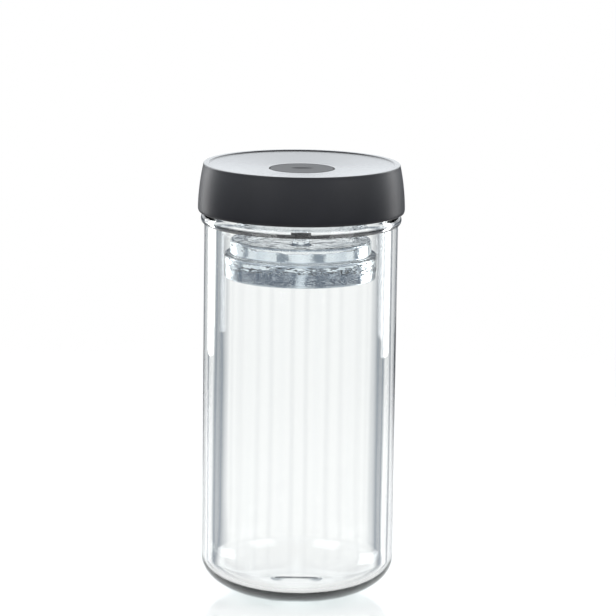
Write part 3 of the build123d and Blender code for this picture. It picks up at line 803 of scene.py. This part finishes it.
class JAR_OT_cover(bpy.types.Operator):
    """Build the lid's outer cover"""

    bl_idname = "jar.cover"
    bl_label = "Lid cover"

    def execute(self, context):
        lid, valve, at = context.scene.lid_sizes, context.scene.valve_sizes, layout(context.scene)
        rib_inner = at.liner + lid.key_fit
        rib_low_z = at.flange_z + lid.key_fit
        rib_high_z = rib_low_z + lid.key_height
        half = lid.key_width / 2 / rib_inner
        on_rib, angles = features(KEYS, half, (lid.key_width + lid.key_fit) / rib_inner)

        def shape(angle, radius, level):
            """Ribs stand inwards from the skirt's inner wall, between two levels."""
            wall = np.abs(radius - cover_bore(at, lid, level)) < SAME
            rib = wall & on_rib(angle) & (level > rib_low_z) & (level < rib_high_z)
            return np.where(rib, rib_inner, radius), level

        black = plastic("lid_black", context.scene.finishes.lid_black, 0.40, 0.010, 0.30, at.lid_z - 0.2 * MM)
        surface = turned(cover_outline(at, lid, valve), shape, angles)
        make_piece("lid_cover", surface, black, "lid")
        return {"FINISHED"}


class JAR_OT_liner(bpy.types.Operator):
    """Build the threaded liner and the gasket"""

    bl_idname = "jar.liner"
    bl_label = "Liner and gasket"

    def execute(self, context):
        jar, lid, at = context.scene.jar_sizes, context.scene.lid_sizes, layout(context.scene)
        finishes = context.scene.finishes
        key_top_z = at.flange_z + lid.key_height
        key_radius = cover_bore(at, lid, key_top_z) - lid.key_fit
        on_key, angles = features(KEYS, lid.key_width / 2 / key_radius)
        first_z = at.thread_z - jar.thread_lead / THREAD_STARTS / 2

        def shape(angle, radius, level):
            """The thread points into the bore, and the drive keys stand out of the wall."""
            thread = jar.thread_depth * thread_share(angle, level, jar, first_z)
            in_bore = (np.abs(radius - at.bore) < SAME) & (level < at.mouth_z)
            radius = np.where(in_bore, radius - thread, radius)
            on_wall = (np.abs(radius - at.liner) < SAME) & (level < key_top_z)
            return np.where(on_wall & on_key(angle), key_radius, radius), level

        black = plastic("liner_black", finishes.liner_black, 0.36, 0.008, 0.4)
        surface = turned(liner_outline(at, jar, lid), shape, angles)
        make_piece("lid_liner", surface, black, "lid")
        inner, outer, small = at.lip_outer + lid.gasket_fit, at.bore - lid.gasket_fit, 0.35 * MM
        ring = rounded(
            (inner, at.mouth_z, small),
            (outer, at.mouth_z, small),
            (outer, at.gasket_z, small),
            (inner, at.gasket_z, small),
        )
        soft = silicone("gasket_silicone", finishes.silicone)
        make_piece("lid_gasket", turned(ring), soft, "lid")
        return {"FINISHED"}


class JAR_OT_valve(bpy.types.Operator):
    """Build the valve's cap and membrane"""

    bl_idname = "jar.valve"
    bl_label = "Valve"

    def execute(self, context):
        valve, at = context.scene.valve_sizes, layout(context.scene)
        finishes = context.scene.finishes
        small = 0.2 * MM
        inner = at.cap - valve.cap_wall
        under_z = at.lid_z - valve.cap_thickness
        on_notch, angles = features(NOTCHES, valve.notch_width / 2 / at.cap)
        ball = (valve.dimple_width**2 / 4 + valve.dimple_depth**2) / (2 * valve.dimple_depth)
        stretch = (valve.dimple_length - valve.dimple_width) / 2
        reach = valve.dimple_length / 2 + 0.5 * MM

        def shape(angle, radius, level):
            """Notches raise the skirt's foot, and an oval dimple sinks the middle of the disc."""
            foot = (np.abs(level - at.well_z) < small * 1.1) & on_notch(angle)
            beyond = np.maximum(np.abs(radius * np.cos(angle)) - stretch, 0)
            away = np.hypot(beyond, radius * np.sin(angle))
            sunk = np.sqrt(np.maximum(ball**2 - away**2, 0)) - (ball - valve.dimple_depth)
            on_top = level > at.lid_z - valve.cap_edge
            dimple = np.where(on_top & (radius < reach), np.maximum(sunk, 0), 0)
            return radius, level + np.where(foot, valve.notch_height, 0) - dimple

        outline = joined(
            straight((0, at.lid_z), (reach, at.lid_z), FINE_ROWS),
            rounded(
                (reach, at.lid_z),
                (at.cap, at.lid_z, valve.cap_edge),
                (at.cap, at.well_z, small),
                (inner, at.well_z, small),
                (inner, under_z, small),
                (0, under_z),
                closed=False,
            ),
        )
        cap_black = plastic("cap_black", finishes.cap_black, 0.48, 0.016, 0.5)
        make_piece("valve_cap", turned(outline, shape, angles), cap_black, "cap")

        boss_z = at.well_z + valve.boss_height
        bulb_z = at.hub_z - valve.lift - valve.fit
        dish = valve.membrane_edge
        section = rounded(
            (0, boss_z),
            (valve.boss, boss_z, 0.5 * MM),
            (valve.boss + dish, at.well_z + 2 * dish, 0.3 * MM),
            (valve.membrane, at.well_z + dish, small),
            (valve.membrane, at.well_z, small),
            (valve.membrane - dish, at.well_z),
            (valve.boss, at.well_z + dish, 0.3 * MM),
            (valve.boss - dish, at.well_z),
            (valve.stem, at.well_z),
            (valve.stem, bulb_z, 0.1 * MM),
            (valve.bulb, bulb_z, 0.3 * MM),
            (valve.bulb, bulb_z - valve.bulb_length / 3, 0.5 * MM),
            (valve.stem / 2, bulb_z - valve.bulb_length, 0.4 * MM),
            (0, bulb_z - valve.bulb_length),
            closed=False,
        )
        soft = silicone("membrane_silicone", finishes.silicone)
        make_piece("valve_membrane", turned(section), soft, "membrane")
        return {"FINISHED"}


class JAR_OT_weight(bpy.types.Operator):
    """Build the soft holder and the glass weight"""

    bl_idname = "jar.weight"
    bl_label = "Holder and weight"

    def execute(self, context):
        valve, weight, at = context.scene.valve_sizes, context.scene.weight_sizes, layout(context.scene)
        finishes = context.scene.finishes
        small = 0.35 * MM
        collar_inner = valve.hub + valve.fit
        collar_outer = valve.hub + weight.collar_wall
        bead_reach = valve.groove_depth - weight.bead_fit
        bead_low_z = at.hub_end_z + valve.groove_rise + weight.bead_fit
        bead_high_z = bead_low_z + valve.groove_height - 2 * weight.bead_fit
        bore = weight.knob + valve.fit
        bore_end_z = at.stub_z + weight.grip + 0.3 * MM
        seat_z = at.hub_end_z - weight.collar_gap
        collar_z = at.hub_z - weight.collar_gap
        section = rounded(
            (0, seat_z),
            (collar_inner, seat_z),
            (collar_inner, bead_low_z),
            (valve.hub - bead_reach, bead_low_z + bead_reach),
            (valve.hub - bead_reach, bead_high_z - bead_reach),
            (collar_inner, bead_high_z),
            (collar_inner, collar_z, small),
            (collar_outer, collar_z, small),
            (collar_outer, at.shoulder_z, 1.0 * MM),
            (weight.stub, at.shoulder_z - weight.taper, 1.5 * MM),
            (weight.stub, at.stub_z, small),
            (bore, at.stub_z, small),
            (bore, bore_end_z),
            (0, bore_end_z),
            closed=False,
        )
        soft = silicone("holder_silicone", finishes.silicone)
        make_piece("weight_holder", turned(section), soft, "holder")

        lower, upper = at.weight, at.weight - weight.step
        dish = upper - weight.rim
        dish_z = at.weight_z - weight.dish_depth
        knob_z = at.stub_z + weight.grip
        edge, soft_edge = weight.rounding, 0.8 * MM
        outline = rounded(
            (0, at.bottom_z),
            (lower, at.bottom_z, edge),
            (lower, at.step_z, edge),
            (upper, at.step_z, soft_edge),
            (upper, at.weight_z, edge),
            (dish, at.weight_z, soft_edge),
            (dish - weight.dish_slope, dish_z, 1.5 * MM),
            (weight.knob, dish_z, weight.knob_foot),
            (weight.knob, knob_z, weight.knob / 2),
            (0, knob_z),
            closed=False,
            step=1.3 * MM,
        )
        calm, grown = 2 * MM, 6 * MM

        def shape(angle, radius, level):
            """The mould's unevenness moves the sides in and the underside up, except at the knob."""
            reach = np.clip((radius - weight.knob - calm) / grown, 0, 1) * weight.wave
            inwards = reach * (0.5 + 0.5 * unevenness(angle, level, WEIGHT_WAVES))
            upwards = reach * (0.5 + 0.5 * unevenness(angle, radius, WEIGHT_WAVES))
            under = (level < at.bottom_z + 0.2 * MM) & (radius < lower - edge)
            return np.where(under, radius, radius - inwards), level + np.where(under, upwards, 0)

        glass = clear_glass(
            "weight_glass",
            finishes.weight_glass,
            ripple=0.5,
            ripple_scale=(150, 150, 260),
            absorbed=(0.74, 0.86, 0.93),
            density=7.0,
            shadow=(0.84, 0.88, 0.90),
        )
        make_piece("glass_weight", turned(outline, shape), glass, "weight")
        return {"FINISHED"}


class JAR_OT_studio(bpy.types.Operator):
    """Build the floor, the lamps, the world and the camera"""

    bl_idname = "jar.studio"
    bl_label = "Studio"

    def execute(self, context):
        studio = context.scene.studio_sizes
        self.make_floor(context, studio)
        self.make_world(context, studio)
        self.make_lamps(context, studio)
        self.make_camera(context, studio)
        context.scene.view_settings.view_transform = "Standard"
        return {"FINISHED"}

    def make_floor(self, context, studio):
        """A flat disc, r and angle as its two parameters, that fades out into the white round it."""
        rings, segments, level = 24, 96, -0.15 * MM
        fade_start, fade_end = 0.25, 0.7
        radii = np.linspace(0, 1, rings) ** 2 * studio.floor_radius
        outline = np.stack((radii, np.full_like(radii, level)), 1)
        vertices, faces = turned(outline, angles=np.linspace(0, FULL_TURN, segments, endpoint=False))

        material, start, place = blank_material("floor")
        tone, grain = context.scene.finishes.floor, place.noise(35.0, 3.0)
        values = {
            "Base Color": grain.blend(rgba(tone), rgba(tone, 1.02)),
            "Roughness": 0.07 + 0.05 * grain,
            "Specular IOR Level": 0.5,
        }
        x, y, _ = place.axes()
        far = ((x * x + y * y) ** 0.5).between(fade_start, fade_end)
        gone = far.math("MAXIMUM", far, start.ray("Transmission"))
        opaque, clear = start.node("BsdfPrincipled", values), start.node("BsdfTransparent")
        start.node("OutputMaterial", {"Surface": start.node("MixShader", {0: gone, 1: opaque, 2: clear})})
        floor = mesh_object("floor", "floor", vertices, [f[::-1] for f in faces], material)

    def make_world(self, context, studio):
        """White to the camera, strips and layers to glass, bright low over the horizon to gloss."""
        world = bpy.data.worlds.new("studio")
        context.scene.world = world
        start = blank_tree(world)
        x, y, z = start.node("TexCoord", output="Generated").axes()
        azimuth = y.math("ARCTAN2", y, x) / DEGREE
        across = azimuth.math("PINGPONG", azimuth, STRIP_DEGREES) / STRIP_DEGREES
        height = z.math("ARCSINE", z) / DEGREE
        white, haze, ground = (1, 1, 1, 1), (0.80, 0.84, 0.88, 1), (0.16, 0.175, 0.20, 1)
        bright, overhead = (1.5, 1.56, 1.62, 1), (0.3, 0.3, 0.32, 1)
        below = height.between(-38.0, -20.0).blend(white, across.ramp(STRIPS))
        above = across.between(0.0, 0.16).blend(haze, (height / LAYER_DEGREES).ramp(LAYERS))
        through = height.between(2.0, 7.0).blend(below, above)
        sky = height.between(30.0, 60.0).blend(bright, overhead)
        mirrored = height.between(-3.0, 2.0).blend(ground, sky)
        shown = start.ray("Glossy").blend(rgba([studio.ambient] * 3), mirrored)
        shown = start.ray("Transmission").blend(shown, through)
        shown = start.ray("Camera").blend(shown, white)
        background = start.node("Background", {"Color": shown, "Strength": 1.0})
        start.node("OutputWorld", {"Surface": background})

    def make_lamps(self, context, studio):
        """Big soft lamps at the upper left and right, and a tall one beside each edge of the jar."""
        middle = Vector((0, 0, studio.target_height))
        lamps = (
            ("key", (-0.95, -0.85, 1.15), (0.9, 0.9), studio.key_power),
            ("fill", (1.0, -0.75, 0.95), (0.8, 0.8), studio.fill_power),
            ("side_left", (-0.72, 0.72, 0.35), (0.28, 0.9), studio.side_power),
            ("side_right", (0.84, 0.58, 0.35), (0.28, 0.9), studio.side_power),
        )
        for name, place, (width, height), power in lamps:
            lamp = bpy.data.lights.new(name, "AREA")
            lamp.shape = "RECTANGLE"
            lamp.size = width
            lamp.size_y = height
            lamp.energy = power
            holder = bpy.data.objects.new(name, lamp)
            holder.location = place
            holder.rotation_euler = (middle - Vector(place)).to_track_quat("-Z", "Y").to_euler()
            holder.visible_camera = False
            context.scene.collection.objects.link(holder)

    def make_camera(self, context, studio):
        """Puts the camera over the horizon on the -Y side, turned so that the target meets its pixel."""
        camera = bpy.data.cameras.new("camera")
        camera.sensor_width = SENSOR_WIDTH
        camera.lens = FOCAL_PIXELS * SENSOR_WIDTH / IMAGE_SIDE
        camera.clip_end = 50.0
        tilt, lean = studio.elevation, studio.roll
        ahead = Vector((0, math.cos(tilt), -math.sin(tilt)))
        level_up = Vector((0, math.sin(tilt), math.cos(tilt)))
        side = Vector((math.cos(lean), 0, 0)) + level_up * math.sin(lean)
        up = Vector((-math.sin(lean), 0, 0)) + level_up * math.cos(lean)
        right = (IMAGE_SIDE / 2 - TARGET_PIXEL_X) / FOCAL_PIXELS
        raised = (TARGET_PIXEL_Y - IMAGE_SIDE / 2) / FOCAL_PIXELS
        aim = ahead + side * right + up * raised
        aim.normalize()
        side = aim.cross(up).normalized()
        up = side.cross(aim)
        place = Vector((0, 0, studio.target_height)) - ahead * studio.distance
        view = bpy.data.objects.new("camera", camera)
        view.matrix_world = Matrix.Translation(place) @ Matrix((side, up, -aim)).transposed().to_4x4()
        context.scene.collection.objects.link(view)
        context.scene.camera = view


class JAR_PT_panel(bpy.types.Panel):
    """Lists the jar's operators"""

    bl_idname = "JAR_PT_panel"
    bl_label = "Fermentation jar"
    bl_space_type = "VIEW_3D"
    bl_region_type = "UI"
    bl_category = "Jar"

    def draw(self, context):
        for operator in OPERATORS:
            self.layout.operator(operator.bl_idname)


GROUPS = {
    "jar_sizes": JarSizes,
    "lid_sizes": LidSizes,
    "valve_sizes": ValveSizes,
    "weight_sizes": WeightSizes,
    "finishes": Finishes,
    "studio_sizes": StudioSizes,
}
OPERATORS = (JAR_OT_glass, JAR_OT_cover, JAR_OT_liner, JAR_OT_valve, JAR_OT_weight, JAR_OT_studio)
CLASSES = (*GROUPS.values(), *OPERATORS, JAR_PT_panel)


def register():
    """Registers the classes and hangs the property groups on the scene."""
    for each in CLASSES:
        bpy.utils.register_class(each)
    for name, group in GROUPS.items():
        setattr(bpy.types.Scene, name, bpy.props.PointerProperty(type=group))


def unregister():
    """Takes the property groups and the classes away again."""
    for name in GROUPS:
        delattr(bpy.types.Scene, name)
    for each in reversed(CLASSES):
        bpy.utils.unregister_class(each)


def main():
    """Builds every piece and the studio."""
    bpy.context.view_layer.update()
    register()
    bpy.ops.jar.glass()
    bpy.ops.jar.cover()
    bpy.ops.jar.liner()
    bpy.ops.jar.valve()
    bpy.ops.jar.weight()
    bpy.ops.jar.studio()


if __name__ == "__main__":
    main()
